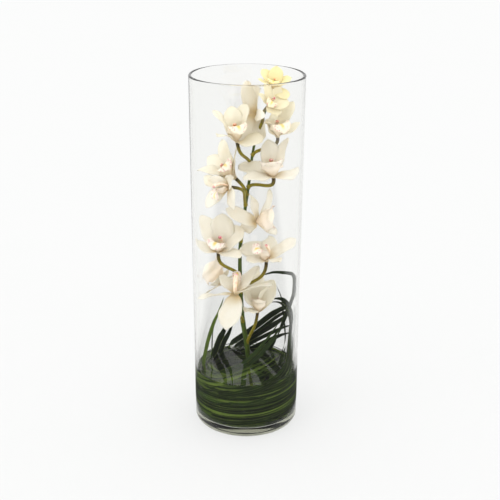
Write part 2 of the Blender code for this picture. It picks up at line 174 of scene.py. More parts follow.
# Soda-lime glass, fire-polished: colourless head on, grey where the eye looks along the wall, and faintly
# wavy, as drawn glass is.
glass, tree, place = new_material("soda_lime_glass")
tall = add(tree, "Mapping", {"Vector": place, "Scale": (30, 30, 3)})
waves = add(tree, "TexNoise", {"Vector": tall, "Scale": 1, "Detail": 1})
clear_body(tree, 1.52, waves, 0.12, 0.002, "#cfd0c0", 19.0)

foot = (outer_radius(FOOT_ROUND) - FOOT_ROUND, FOOT_ROUND)
rim = (outer_radius(VASE_HEIGHT) - VASE_WALL / 2, VASE_HEIGHT - VASE_WALL / 2)
corner_height = VASE_FLOOR + INNER_ROUND
corner = (inner_radius(corner_height) - INNER_ROUND, corner_height)
wall = [part * VASE_HEIGHT for part in shares(12)[1:-1]]
profile = [(0, 0), (AXIS_RING, 0), (foot[0] - EDGE_KEEPER, 0)]
profile += arc(foot, FOOT_ROUND, -90, 0, 12)
levels = [FOOT_ROUND + EDGE_KEEPER, *wall, rim[1] - EDGE_KEEPER]
profile += [(outer_radius(level), level) for level in levels]
profile += arc(rim, VASE_WALL / 2, 0, 180, 12)
levels = [rim[1] - EDGE_KEEPER, *reversed(wall), corner[1] + EDGE_KEEPER]
profile += [(inner_radius(level), level) for level in levels]
profile += arc(corner, INNER_ROUND, 0, -90, 8)
profile += [(corner[0] - EDGE_KEEPER, VASE_FLOOR), (AXIS_RING, VASE_FLOOR), (0, VASE_FLOOR)]
hand_over(new_piece("vase_glass", turned(profile), glass), "glass_vase")


# ---- The water ----
# Fresh water to about a sixth of the vase's height. It wets the glass, so its surface curves up the wall in a
# thin meniscus. It laps into the wall and floor by a hair, so that no film of air shows between the two.

WATER_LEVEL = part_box("water")[1].z
WATER_LAP = 0.00015
MENISCUS = 0.0018
MENISCUS_WIDTH = 1.6 * MENISCUS

water, tree, place = new_material("still_water")
ripples = add(tree, "TexNoise", {"Vector": place, "Scale": 25.0, "Detail": 0})
clear_body(tree, 1.333, ripples, 0.05, 0.001, "#b9c8ae", 2.5)

bottom = VASE_FLOOR - WATER_LAP
profile = [(0, bottom), (corner[0] - EDGE_KEEPER, bottom)]
profile += arc(corner, INNER_ROUND + WATER_LAP, -90, 0, 8)
levels = [corner[1] + EDGE_KEEPER, WATER_LEVEL, WATER_LEVEL + MENISCUS]
profile += [(inner_radius(level) + WATER_LAP, level) for level in levels]
for away in shares(8)[1:]:
    rise = MENISCUS * (1 - away) ** 2
    profile.append((inner_radius(WATER_LEVEL) - MENISCUS_WIDTH * away, WATER_LEVEL + rise))
profile += [(AXIS_RING, WATER_LEVEL), (0, WATER_LEVEL)]
hand_over(new_piece("vase_water", turned(profile), water), "water")


# ---- The coiled grass ----
# Long leaves of lily grass (liriope), bent into rings by hand and let go under the water, where their own
# spring holds them against the glass. Each coil is five leaves, one just inside the other.

COIL_OUTER_RADIUS = 0.0687
COIL_LAYER = 0.0002
LEAVES_IN_COIL = 5
LEAF_STEPS = 120
# Each coil: the bearing it starts at, its turns, its height, and the width and tone of its leaves.
Coil = namedtuple("Coil", "start turns height width tone")
COILS = (
    Coil(-80, 1.02, 0.0285, 0.0088, 0.0),
    Coil(-170, 1.12, 0.035, 0.009, 0.05),
    Coil(-60, 1.1, 0.0435, 0.0086, 0.0),
    Coil(-130, 1.12, 0.052, 0.009, 0.1),
    Coil(-90, 1.06, 0.0605, 0.0084, 0.2),
    Coil(-200, 1.1, 0.069, 0.008, 0.35),
)
# The loose inner turns of the same leaves, on the vase's floor and slanting through the water: also how many
# leaves each has, how these lie inside one another, and how far they turn about their own line.
Inner = namedtuple("Inner", "leaves start turns height radius layer slant width turn")
INNER_COILS = (
    Inner(6, -150, 1.2, 0.0225, 0.056, -0.0085, 0.0, 0.03, 88),
    Inner(6, 20, 1.1, 0.029, 0.054, -0.0085, 0.003, 0.028, 80),
    Inner(6, -150, 1.3, 0.042, 0.06, -0.003, 0.006, 0.016, 35),
)


def thin_sheet(tree, skin, through, share):
    """Finishes the material of a thin sheet: a share of the light comes through in a colour of its own."""
    glow = add(tree, "BsdfTranslucent", {"Color": through})
    add(tree, "OutputMaterial", {"Surface": add(tree, "MixShader", (share, skin, glow))})


def washed(tree, colour, *washes):
    """A colour with others laid over it, each where its share says."""
    for share, tint in washes:
        colour = add(tree, "Mix", {0: share, 6: colour, 7: tint}, data_type="RGBA")
    return colour


def shaded(tree, colour, grain, *limits):
    """A colour made darker and lighter by a grain."""
    return add(tree, "HueSaturation", {"Color": colour, "Value": add(tree, "MapRange", (grain, *limits))})


def fibres(tree, place, sizes):
    """Ribs or veins that run the length of a leaf or a petal, from the place across and along it."""
    place = add(tree, "CombineXYZ", place)
    return add(tree, "TexWave", {"Vector": place, **sizes}, output="Fac", bands_direction="X")


# Lily grass leaf: dark green and waxy, ribbed along its length; its thin pale edges are partly a painted
# highlight.
leaf, tree, place, across, tone = new_material("lily_grass_leaf", "across", "tone")
body = add(tree, "ValToRGB", (tone,))
body.color_ramp.elements[0].color = linear("#0d1705")
body.color_ramp.elements[1].color = linear("#60752a")
for part, colour in ((0.60, "#19270a"), (0.86, "#2b4111")):
    body.color_ramp.elements.new(part).color = linear(colour)
# About fourteen ribs in the width of a leaf, a little over half a millimetre apart.
ribs = fibres(tree, (across,), {"Scale": 2.2})
weak = add(tree, "Math", (ribs, 0.35), operation="MULTIPLY")
# Lighter towards both edges: partly the leaf's own pale margin, partly a painted highlight along its edges.
pale = add(tree, "MapRange", (add(tree, "Math", (across,), operation="ABSOLUTE"), 0.72, 1, 0, 0.6))
edged = washed(tree, body, (weak, "#0f1a08"), (pale, "#64762a"))
patches = add(tree, "TexNoise", {"Vector": place, "Scale": 60.0, "Detail": 3.0})
shade = shaded(tree, edged, patches, 0.35, 0.7, 0.82, 1.15)
wax = coated(tree, shade, ribs, 0.35, 0.0002, {"Roughness": 0.42, "IOR": 1.45, "Specular IOR Level": 0.22})
thin_sheet(tree, wax, "#4f6218", 0.12)


def start_tree(name, **kinds):
    """An empty Geometry Nodes tree with named inputs of each kind; returns it and its input sockets."""
    tree = bpy.data.node_groups.new(name, "GeometryNodeTree")
    for way in ("INPUT", "OUTPUT"):
        tree.interface.new_socket("Geometry", in_out=way, socket_type="NodeSocketGeometry")
    for kind, labels in kinds.items():
        for label in labels.split():
            tree.interface.new_socket(label, in_out="INPUT", socket_type="NodeSocket" + kind)
    return tree, add(tree, "GroupInput").outputs


def skin_curves(tree, curves, section, radius, material):
    """Ends a tree: sweeps the section along the curves and makes one smooth painted mesh of them."""
    skin = add(tree, "CurveToMesh", {
        "Curve": curves, "Profile Curve": section, "Scale": radius, "Fill Caps": True})
    skin = add(tree, "SetShadeSmooth", (skin,))
    skin = add(tree, "RealizeInstances", (skin,))
    skin = add(tree, "SetMaterial", {"Geometry": skin, "Material": material})
    add(tree, "GroupOutput", (skin,))


def outward(tree):
    """The level direction away from the middle of the vase."""
    level = add(tree, "VectorMath", (add(tree, "InputPosition"), (1, 1, 0)), operation="MULTIPLY")
    return add(tree, "VectorMath", (level,), operation="NORMALIZE")


def skin_leaves(tree, curves, half_width, tone, face):
    """Ends a tree: gives each curve the section of a leaf, a thin gutter that faces the way it is told."""
    tangent = add(tree, "InputTangent")
    over = add(tree, "VectorMath", (tangent, face), operation="CROSS_PRODUCT")
    square = add(tree, "VectorMath", (over, tangent), operation="CROSS_PRODUCT")
    square = add(tree, "VectorMath", (square,), operation="NORMALIZE")
    faced = add(tree, "SetCurveNormal", {"Curve": curves, "Normal": square}, mode="FREE")
    marked = add(tree, "StoreNamedAttribute", {"Geometry": faced, "Name": "tone", "Value": tone})
    ring = add(tree, "CurvePrimitiveCircle", {"Resolution": 10})
    corner = add(tree, "SeparateXYZ", (add(tree, "InputPosition"),)).outputs
    ring = add(tree, "StoreNamedAttribute", {"Geometry": ring, "Name": "across", "Value": corner["X"]})
    bowed = add(tree, "Math", (corner["X"], 2.0), operation="POWER")
    bowed = add(tree, "Math", (bowed, -0.05), operation="MULTIPLY")
    thin = add(tree, "Math", (corner["Y"], 0.035, bowed), operation="MULTIPLY_ADD")
    section = add(tree, "CombineXYZ", (thin, corner["X"]))
    ring = add(tree, "SetPosition", {"Geometry": ring, "Position": section})
    skin_curves(tree, marked, ring, half_width, leaf)


def grown(name, source, tree, sizes):
    """Runs a tree on curves or an empty mesh and keeps the result as a plain mesh object."""
    source = put("source", source)
    growth = source.modifiers.new("growth", "NODES")
    growth.node_group = tree
    for label, value in sizes.items():
        growth[tree.interface.items_tree[label].identifier] = value
    evaluated = source.evaluated_get(bpy.context.evaluated_depsgraph_get())
    mesh = bpy.data.meshes.new_from_object(evaluated)
    bpy.data.objects.remove(source)
    mesh.name = name
    return put(name, mesh)


tree, given = start_tree("coiled leaves", Int="leaves seed", Float=(
    "start turns height spread rise slant radius layer width turn tone"))
line = add(tree, "CurvePrimitiveLine", {"End": (1, 0, 0)})
line = add(tree, "ResampleCurve", {"Curve": line, "Count": LEAF_STEPS}, mode="COUNT")
leaves = add(tree, "DuplicateElements", {"Geometry": line, "Amount": given["leaves"]},
             domain="SPLINE").outputs
number = leaves["Duplicate Index"]


def drawn(low, high, salt):
    """A random number for each leaf of a coil."""
    seed = add(tree, "Math", (given["seed"], salt), operation="ADD")
    return add(tree, "RandomValue", {2: low, 3: high, "ID": number, "Seed": seed})


part = add(tree, "SplineParameter")
begin = add(tree, "Math", (given["start"], drawn(-0.16, 0.16, 1)), operation="ADD")
turn = add(tree, "Math", (part, given["turns"], begin), operation="MULTIPLY_ADD")
angle = add(tree, "Math", (turn, 2 * pi), operation="MULTIPLY")
order = add(tree, "Math", (number, -(LEAVES_IN_COIL // 2)), operation="ADD")
sway = add(tree, "Math", (turn, 7.3, drawn(0, 6.0, 3)), operation="MULTIPLY_ADD")
sway = add(tree, "Math", (sway,), operation="SINE")
lean = add(tree, "Math", (angle, drawn(-0.7, 0.7, 6)), operation="ADD")
lean = add(tree, "Math", (lean,), operation="SINE")
height = given["height"]
for amount, share in ((order, given["spread"]), (turn, given["rise"]), (drawn(-0.0012, 0.0012, 2), 1),
                      (sway, 0.0011), (lean, given["slant"])):
    height = add(tree, "Math", (amount, share, height), operation="MULTIPLY_ADD")
radius = add(tree, "Math", (number, given["layer"], given["radius"]), operation="MULTIPLY_ADD")
front = add(tree, "Math", (radius, -1), operation="MULTIPLY")
round_vase = add(tree, "VectorRotate", {
    "Vector": add(tree, "CombineXYZ", {"Y": front, "Z": height}), "Angle": angle}, rotation_type="Z_AXIS")
wound = add(tree, "SetPosition", {"Geometry": leaves["Geometry"], "Position": round_vase})
taper = add(tree, "FloatCurve", {"Value": part})
points = taper.mapping.curves[0].points
points[0].location = (0, 0.5)
points[1].location = (1, 0.05)
points.new(0.10, 1)
points.new(0.78, 1)
half = add(tree, "Math", (given["width"], drawn(0.20, 0.35, 4)), operation="MULTIPLY")
half = add(tree, "Math", (half, taper), operation="MULTIPLY")
face = add(tree, "VectorRotate", {
    "Vector": outward(tree), "Axis": add(tree, "InputTangent"), "Angle": given["turn"]})
tone = add(tree, "Math", (drawn(0, 1, 5), given["tone"]), operation="ADD", use_clamp=True)
skin_leaves(tree, wound, half, tone, face)


def wind(name, number, start, turn, **sizes):
    """Winds one coil from a bearing, its leaves turned so many degrees about their own line."""
    sizes.update(start=start / 360, turn=radians(turn))
    piece = grown(f"{name}_{number}", bpy.data.meshes.new("nothing"), tree, sizes)
    hand_over(piece, f"grass_coil_{number}")


for number, coil in enumerate(COILS, 1):
    wind("coiled_leaves", number, leaves=LEAVES_IN_COIL, turn=0, spread=0.0025, rise=0.012, slant=0.0035,
         radius=COIL_OUTER_RADIUS - COIL_LAYER * LEAVES_IN_COIL * (number - 1), layer=-COIL_LAYER,
         seed=11 * number, **coil._asdict())
for number, coil in enumerate(INNER_COILS, 1):
    wind("loose_leaves", number, spread=0.0008, rise=0.0, tone=0.1, seed=50 + 7 * number, **coil._asdict())


# ---- The rising grass ----
# Leaves of the same lily grass whose ends leave the coil, come up out of the water and lean or arch across
# the vase until the glass or their own stiffness holds them.

COIL_INNER_RADIUS = 0.0616
LEAF_CLEARANCE = 0.0010
# Each leaf: its width, its tone, the bearing and tilt it faces, the bearing and height at which it starts and
# leaves the coil, its points, and its fellows: how far each stands off it, and its share of its width.
Rising = namedtuple("Rising", "width tone face tilt start leave points fellows")
RISING = (
    Rising(0.006, 0.3, 0, 0, (190, 0.045), (170, 0.062), (
        (0.029, 0.05, 0.075), (0.039, 0.047, 0.089), (0.049, 0.038, 0.114), (0.057, 0.024, 0.144),
        (0.064, 0.01, 0.173), (0.069, 0.002, 0.195), (0.07, 0.0, 0.208), (0.067, 0.006, 0.215),
        (0.062, 0.014, 0.216), (0.041, 0.026, 0.213), (0.029, 0.032, 0.208), (0.007, 0.04, 0.199)), ()),
    Rising(0.0075, 0.15, 25, 0, (70, 0.036), (84, 0.066), (
        (0.065, 0.016, 0.105), (0.067, 0.016, 0.126), (0.067, 0.012, 0.148), (0.062, 0.018, 0.163),
        (0.054, 0.026, 0.17), (0.044, 0.034, 0.169), (0.035, 0.04, 0.164)),
        (((-0.003, 0.002, -0.006), 0.5),)),
    Rising(0.0026, 0.2, 20, 0, (140, 0.062), (122, 0.08), (
        (0.058, 0.03, 0.104), (0.057, 0.03, 0.128), (0.054, 0.03, 0.151), (0.051, 0.028, 0.173),
        (0.043, 0.026, 0.193)), ()),
    Rising(0.0085, 0.05, 0, 20, (245, 0.036), (215, 0.06), (
        (-0.028, 0.058, 0.081), (-0.007, 0.058, 0.098), (0.018, 0.052, 0.12), (0.041, 0.04, 0.144),
        (0.06, 0.022, 0.16), (0.068, 0.01, 0.15)),
        (((0.006, -0.002, -0.004), 0.6),)),
    Rising(0.0085, 0.05, -25, 15, (236, 0.046), (208, 0.064), (
        (-0.004, 0.058, 0.088), (0.024, 0.052, 0.109), (0.05, 0.034, 0.135), (0.064, 0.018, 0.155)), ()),
    Rising(0.0075, 0.1, 15, 20, (240, 0.03), (200, 0.06), (
        (-0.002, 0.06, 0.07), (0.009, 0.058, 0.078), (0.03, 0.05, 0.093), (0.051, 0.036, 0.11),
        (0.067, 0.012, 0.126)), (((0.004, 0.001, 0.012), 0.8),)),
    Rising(0.0056, 0.8, 20, 0, (-60, 0.034), (-88, 0.068), (
        (-0.061, -0.002, 0.087), (-0.058, -0.002, 0.103), (-0.053, -0.002, 0.125), (-0.046, 0.0, 0.147),
        (-0.039, 0.003, 0.162), (-0.032, 0.008, 0.182)), ()),
    Rising(0.0018, 0.5, 0, 0, (-103, 0.06), (-102, 0.072), (
        (-0.05, 0.01, 0.09), (-0.05, 0.01, 0.103), (-0.049, 0.012, 0.125), (-0.045, 0.014, 0.141)), ()),
    Rising(0.009, 0.1, 0, 0, (-80, 0.04), (-118, 0.068), (
        (-0.048, 0.035, 0.082), (-0.041, 0.038, 0.1), (-0.033, 0.04, 0.116), (-0.027, 0.041, 0.134)),
        (((0.008, 0.005, -0.004), 0.8),)),
)


def beside(count, spread, seed):
    """Fellows of a leaf, which stand off it at random within a spread."""
    chance = random.Random(seed)
    return tuple((tuple(chance.uniform(-reach, reach) for reach in spread), chance.uniform(0.5, 1))
                 for _ in range(count))


# The leaves that cross the vase just under the water, from the coil at the left to the back and the right.
# The light tones of the first and last of them are a painted highlight on the bright strands they make.
CROSSING = (
    Rising(0.0042, 0.88, 0, 40, (-110, 0.06), (-62, 0.07), (
        (-0.03, -0.042, 0.073), (0.0, -0.022, 0.074), (0.03, 0.006, 0.074), (0.05, 0.032, 0.082)),
        beside(7, (0.006, 0.01, 0.0035), 1)),
    Rising(0.0042, 0.65, 10, 30, (-95, 0.052), (-42, 0.066), (
        (-0.006, -0.05, 0.071), (0.024, -0.03, 0.072), (0.046, -0.004, 0.076), (0.058, 0.018, 0.1)),
        beside(7, (0.005, 0.009, 0.0035), 2)),
    Rising(0.0046, 0.5, 30, 10, (-60, 0.05), (10, 0.066), (
        (0.03, -0.05, 0.071), (0.052, -0.03, 0.079), (0.063, -0.006, 0.098), (0.066, 0.008, 0.124)),
        beside(7, (0.004, 0.007, 0.01), 3)),
    Rising(0.0055, 0.6, 0, 25, (-105, 0.05), (-85, 0.06), (
        (-0.04, -0.018, 0.065), (-0.01, 0.0, 0.07), (0.016, 0.012, 0.088), (0.036, 0.022, 0.108),
        (0.052, 0.028, 0.13)),
        beside(5, (0.005, 0.008, 0.006), 4)),
    Rising(0.0042, 0.95, 0, 55, (-150, 0.044), (-112, 0.06), (
        (-0.052, -0.006, 0.065), (-0.03, -0.03, 0.066), (0.0, -0.05, 0.065), (0.03, -0.05, 0.062)),
        beside(10, (0.007, 0.012, 0.003), 5)),
)


def smooth_line(points, steps):
    """A smooth curve through the points (Catmull-Rom), with the given number of steps between two of them."""
    points = [Vector(point) for point in points]
    ends = [points[0] * 2 - points[1], *points, points[-1] * 2 - points[-2]]
    line = []
    for a, b, c, d in zip(ends, ends[1:], ends[2:], ends[3:]):
        for t in shares(steps)[:-1]:
            line.append(0.5 * (2 * b + (c - a) * t + (2 * a - 5 * b + 4 * c - d) * t**2
                               + (3 * b - a - 3 * c + d) * t**3))
    return [*line, points[-1]]


def facing(bearing, tilt=0):
    """The direction that looks to a bearing and tilts up from level."""
    bearing, tilt = radians(bearing), radians(tilt)
    return Vector((sin(bearing) * cos(tilt), -cos(bearing) * cos(tilt), sin(tilt)))


def paths_curve(paths):
    """Curve data whose splines pass through lists of (point, radius)."""
    curve = bpy.data.curves.new("paths", "CURVE")
    curve.dimensions = "3D"
    for path in paths:
        spline = curve.splines.new("POLY")
        spline.points.add(len(path) - 1)
        for target, (point, radius) in zip(spline.points, path):
            target.co = (*point, 1)
            target.radius = radius
    return curve


tree, given = start_tree("leaf along a path", Float="tone", Vector="face")
part = add(tree, "SplineParameter")
rising = add(tree, "MapRange", (part, 0.15, 0.5), interpolation_type="SMOOTHSTEP")
face = add(tree, "Mix", {0: rising, 4: outward(tree), 5: given["face"]}, data_type="VECTOR")
spline = add(tree, "CurveOfPoint", output="Curve Index")
shift = add(tree, "RandomValue", {2: -0.22, 3: 0.22, "ID": spline})
tone = add(tree, "Math", (given["tone"], shift), operation="ADD", use_clamp=True)
skin_leaves(tree, given["Geometry"], add(tree, "InputRadius"), tone, face)


def leaf_paths(blade):
    """The lines of (point, half width) of a leaf and its fellows, from the coil up, inside the glass."""
    ring = []
    for part in shares(3):
        bearing, height = (start + (leave - start) * part for start, leave in zip(blade.start, blade.leave))
        ring.append(facing(bearing) * COIL_INNER_RADIUS + Vector((0, 0, height)))
    line = smooth_line([*ring, *blade.points], 6)
    paths = []
    for offset, share in (((0, 0, 0), 1), *blade.fellows):
        path = []
        for point, part in zip(line, shares(len(line) - 1)):
            taper = min(1, 0.55 + 2.0 * part, 0.04 + 3.2 * (1 - part) ** 0.8)
            half = share * blade.width / 2 * taper
            point = point + Vector(offset) * min(1, 3 * part)
            room = inner_radius(point.z) - LEAF_CLEARANCE - half * 0.5
            inside = min(1, room / hypot(point.x, point.y))
            path.append((Vector((point.x * inside, point.y * inside, point.z)), half))
        paths.append(path)
    return paths


for name, node, blades in (("rising_leaf", "grass_blade", RISING), ("crossing_leaf", "grass_coil", CROSSING)):
    for number, blade in enumerate(blades, 1):
        piece = grown(f"{name}_{number}", paths_curve(leaf_paths(blade)), tree, {
            "tone": blade.tone, "face": facing(blade.face, blade.tilt)})
        hand_over(piece, f"{node}_{number}")


# ---- The flower stem ----
# One cut raceme of cymbidium: a green main stem standing on the vase's floor, and to each bloom a thin stalk
# that ends in the bloom's ovary. Stem and stalks grew as one.

STEM_POINTS = (
    (0.004, 0.04, VASE_FLOOR + 0.0003),
    (0.002, 0.041, 0.08),
    (-0.006, 0.034, 0.141),
    (-0.009, 0.026, 0.205),
    (-0.009, 0.021, 0.252),
    (-0.004, 0.017, 0.297),
    (0.003, 0.015, 0.349),
    (0.009, 0.012, 0.398),
    (0.02, 0.01, 0.437),
    (0.03, 0.008, 0.464),
)
STEM_FOOT_RADIUS = 0.0042
STEM_TOP_RADIUS = 0.0013
STEM_SIDES = 16
STALK_RADIUS = 0.0023
STALK_STEPS = 28
OVARY_RADIUS = 0.0026
OVARY_END = 0.0018
BLOOM_LENGTH = 0.05
HUB_HALF = 0.0015

# Each bloom: its hub's place, the bearing and the tilt above level that it faces, its roll, the length of
# a tepal, the height at which its stalk leaves the main stem, how young (yellow) it is, and the tone of its
# anther cap, from orange through crimson to bright pink.
Bloom = namedtuple("Bloom", "hub facing tilt roll length joint young cap")
BLOOMS = (
    Bloom((0.0345, 0.005, 0.4798), 12, 65, 23, 0.028, 0.462, 0.8, 0),
    Bloom((0.027, -0.016, 0.462), 40, 45, 55, 0.032, 0.437, 0.45, 0.45),
    Bloom((0.013, -0.005, 0.449), 227, 3, 81, 0.043, 0.412, 0, 0.1),
    Bloom((-0.013, -0.022, 0.416), -30, 75, -40, 0.046, 0.374, 0.15, 0),
    Bloom((0.0403, -0.01, 0.42), -9, 68, -18, 0.045, 0.388, 0.2, 0.1),
    Bloom((0.035, -0.018, 0.367), -25, 72, -25, 0.05, 0.342, 0, 0.5),
    Bloom((-0.0163, 0.003, 0.3591), -80, 46, -104, 0.049, 0.331, 0.1, 0.4),
    Bloom((-0.023, -0.031, 0.356), -60, 12, -13, 0.043, 0.316, 0, 0.5),
    Bloom((0.0132, -0.0103, 0.3), 61, 20, -3, 0.046, 0.262, 0, 0.5),
    Bloom((-0.038, -0.014, 0.259), 15, 68, 25, 0.05, 0.205, 0, 0.55),
    Bloom((0.027, -0.016, 0.247), 0, 75, 22, 0.047, 0.18, 0, 0.5),
    Bloom((-0.0312, 0.0256, 0.1952), -111, 40, -58, 0.044, 0.165, 0, 0.5),
    Bloom((-0.015, -0.016, 0.196), 170, 85, 0, 0.052, 0.13, 0, 1),
    Bloom((0.016, 0.004, 0.162), 20, 75, 0, 0.044, 0.092, 0.05, 0.5),
)


def bloom_axes(bloom):
    """A bloom's own axes: right, forward (the way it faces) and up (to its top sepal)."""
    forward = facing(bloom.facing, bloom.tilt)
    level_up = facing(bloom.facing, bloom.tilt + 90)
    roll = radians(bloom.roll)
    up = level_up * cos(roll) + level_up.cross(forward) * sin(roll)
    return up.cross(forward), forward, up


def stem_point(line, height):
    """The point on the stem's middle line at a height."""
    lower, upper = next(pair for pair in zip(line, line[1:]) if pair[1].z >= height)
    return lower.lerp(upper, (height - lower.z) / (upper.z - lower.z))


def stem_radius(height):
    """The stem tapers from its cut foot to its tip, and swells a little at each joint."""
    part = (height - VASE_FLOOR) / (STEM_POINTS[-1][2] - VASE_FLOOR)
    radius = STEM_FOOT_RADIUS + (STEM_TOP_RADIUS - STEM_FOOT_RADIUS) * part
    swell = sum(exp(-((height - bloom.joint) / 0.003) ** 2) for bloom in BLOOMS)
    return radius * (1 + 0.12 * min(1, swell))


def stalk_path(bloom, line):
    """A stalk with its ovary, as (point, radius): out of the stem, up and round to the back of its hub."""
    forward = bloom_axes(bloom)[1]
    size = bloom.length / BLOOM_LENGTH
    start = stem_point(line, bloom.joint)
    end = Vector(bloom.hub) - forward * (HUB_HALF * size + OVARY_END)
    reach = (end - start).length
    leaving = start + 0.35 * reach * ((end - start).normalized() + Vector((0, 0, 0.6))).normalized()
    arriving = end - 0.45 * reach * forward
    thin = STALK_RADIUS * (0.6 + 0.4 * size)
    thick = OVARY_RADIUS * size
    path = []
    for t in shares(STALK_STEPS):
        point = (start * (1 - t) ** 3 + leaving * 3 * t * (1 - t) ** 2
                 + arriving * 3 * t**2 * (1 - t) + end * t**3)
        collar = 0.5 * thin * max(0, 1 - t / 0.12) ** 2
        path.append((point, thin + collar + (thick - thin) * max(0, 2 * t - 1)))
    return [*path, (end + HUB_HALF * forward, thick * 0.96)]


# Orchid stalk: a smooth, slightly waxy, freckled green skin, olive on the thin stalks and dark brown where
# the ovary meets the bloom.
stalk, tree, place, thinner, along = new_material("orchid_stalk_skin", "thinner", "along")
darkening = add(tree, "MapRange", (along, 0.70, 0.99))
darkening = add(tree, "Math", (darkening, thinner), operation="MULTIPLY")
greens = washed(tree, "#46591a", (thinner, "#857a1a"), (darkening, "#3b2c14"))
# Freckles about 2 mm apart, drawn out along the stem.
drawn_out = add(tree, "Mapping", {"Vector": place, "Scale": (1, 1, 0.25)})
freckles = add(tree, "TexNoise", {"Vector": drawn_out, "Scale": 420.0})
skin = shaded(tree, greens, freckles, 0.35, 0.7, 0.72, 1.2)
wax = coated(tree, skin, freckles, 0.3, 0.0003, {
    "Roughness": 0.45, "IOR": 1.45, "Specular IOR Level": 0.35, "Subsurface Weight": 0.08,
    "Subsurface Scale": 0.001})
add(tree, "OutputMaterial", {"Surface": wax})

tree, given = start_tree("stem and stalks", Int="sides")
spline = add(tree, "CurveOfPoint", output="Curve Index")
thinner = add(tree, "Math", (spline, 1), operation="MINIMUM")
marked = given["Geometry"]
for name, value in (("thinner", thinner), ("along", add(tree, "SplineParameter"))):
    marked = add(tree, "StoreNamedAttribute", {"Geometry": marked, "Name": name, "Value": value})
section = add(tree, "CurvePrimitiveCircle", (given["sides"],))
skin_curves(tree, marked, section, add(tree, "InputRadius"), stalk)

stem_line = smooth_line(STEM_POINTS, 12)
paths = [[(point, stem_radius(point.z)) for point in stem_line]]
paths += [stalk_path(bloom, stem_line) for bloom in BLOOMS]
stem = grown("raceme_stem", paths_curve(paths), tree, {"sides": STEM_SIDES})
hand_over(stem, "flower_stem")


# ---- The tepals ----
# Each bloom opens into three sepals and two petals, thick and waxy, grown from the round top of the ovary.
# They are narrow at the base, widest past the middle and pointed at the tip, and they curl back as they age.

TEPAL_ROWS = 30
TEPAL_COLUMNS = 13
TEPAL_FULLNESS = 1.16
HUB_RADIUS = 0.0045
PETAL_CLEARANCE = 0.0006
PETAL_EASE = 0.01
BASE_RADIUS = 0.0036
BASE_BACK = 0.0002
FOLDED_CUP = 0.6
PETAL_MARKS = ("across", "along", "front", "young")
# The tepals of any bloom: where each stands, in degrees from the top one, its size, and how hollow it is.
Tepal = namedtuple("Tepal", "clock width length cup")
TEPALS = (
    Tepal(0, 0.4, 1, 0.11),
    Tepal(60, 0.46, 0.96, 0.21),
    Tepal(122, 0.38, 0.98, 0.07),
    Tepal(238, 0.38, 0.98, 0.07),
    Tepal(300, 0.46, 0.96, 0.21),
)
# How each tepal of each bloom has grown, clockwise from the top one: how far it lifts forward and how far it
# sweeps to one side, in degrees, and its length and its width as parts of the usual.
FORMS = {
    1: ((58, -6, 1.1, 1.5), (33, 0, 1.06, 1), (4, 18, 1.05, 1.6), (38, 7, 1.1, 0.9), (39, 0, 1.13, 1.2)),
    2: ((31, 0, 1, 1), (36, 0, 0.95, 1.3), (22, 34, 0.76, 1.4), (39, -3, 1, 0.8), (41, 0, 1, 1)),
    3: ((-54, -11, 1, 0.8), (-8, 4, 1.2, 1.3), (-7, -34, 0.94, 1.3), (30, -16, 1.05, 1.75),
        (11, -5, 1.17, 1.15)),
    4: ((73, 4, 1.06, 1.2), (63, 0, 1.19, 1.1), (7, 12, 0.86, 1.6), (38, -8, 0.94, 0.8), (58, 4, 1.2, 0.6)),
    5: ((22, 34, 1.06, 1), (54, -4, 1.2, 0.8), (35, -16, 1.04, 0.9), (64, -11, 0.87, 1.1), (58, -2, 0.69, 1)),
    6: ((61, -4, 1.04, 1.1), (58, -2, 1.2, 0.9), (8, -34, 1.11, 1.15), (21, 1, 1.01, 1.15),
        (8, -4, 1.12, 1.2)),
    7: ((56, -8, 1.05, 1.1), (55, 3, 1.2, 1.1), (41, -3, 1.13, 1.1), (37, 10, 1.08, 1.5), (57, -1, 1.2, 0.8)),
    8: ((0, 0, 0.42, 0.8), (25, 0, 0.6, 0.9), (9, 34, 0.97, 1.1), (28, -34, 1.05, 1.2), (45, -34, 0.75, 0.9)),
    9: ((8, -1, 0.9, 0.9), (20, -28, 1.2, 0.5), (7, 14, 1.04, 1), (-75, -2, 0.6, 0.9), (-21, 34, 1.2, 0.9)),
    10: ((55, -18, 1.09, 1.45), (47, 0, 1.02, 1.4), (26, 8, 0.97, 1), (20, 34, 1.08, 0.9), (46, 4, 1.2, 1.1)),
    11: ((14, -34, 0.97, 1), (31, -18, 1.2, 0.9), (30, 18, 1, 0.7), (14, -22, 0.67, 1), (1, -13, 1.1, 1.4)),
    12: ((0, -20, 0.6, 0.8), (30, 10, 0.6, 0.8), (17, 33, 1.09, 0.8), (15, -34, 1.09, 0.6), (23, 0, 1, 1.1)),
    13: ((-42, 16, 1.13, 1.3), (-7, 31, 1.2, 0.5), (31, 30, 0.84, 0.9), (49, 0, 1.04, 1.3),
        (22, -31, 1.2, 1.1)),
    14: ((51, 20, 1.4, 1.3), (53, -3, 1.24, 1.3), (78, 34, 1.34, 1.1), (31, -12, 0.97, 1), (51, 0, 1, 1.2)),
}
# The tepals, by bloom and clock, that have folded, or twisted about their own line by so many degrees.
FOLDED = {(3, 238)}
TWISTED = {(7, 238): 75, (9, 60): 30}


def inside_glass(point):
    """Eases a point that nears the wall of the vase back inside it, as a petal bends against the glass."""
    limit = inner_radius(point.z) - PETAL_CLEARANCE
    free = limit - PETAL_EASE
    reach = hypot(point.x, point.y)
    if reach <= free:
        return point
    eased = free + (limit - free) * tanh((reach - free) / (limit - free))
    return Vector((point.x * eased / reach, point.y * eased / reach, point.z))


def in_vase(bloom, right, forward, up):
    """A point of a full-size bloom, put where this bloom is."""
    size = bloom.length / BLOOM_LENGTH
    axes = bloom_axes(bloom)
    return inside_glass(Vector(bloom.hub) + size * (right * axes[0] + forward * axes[1] + up * axes[2]))


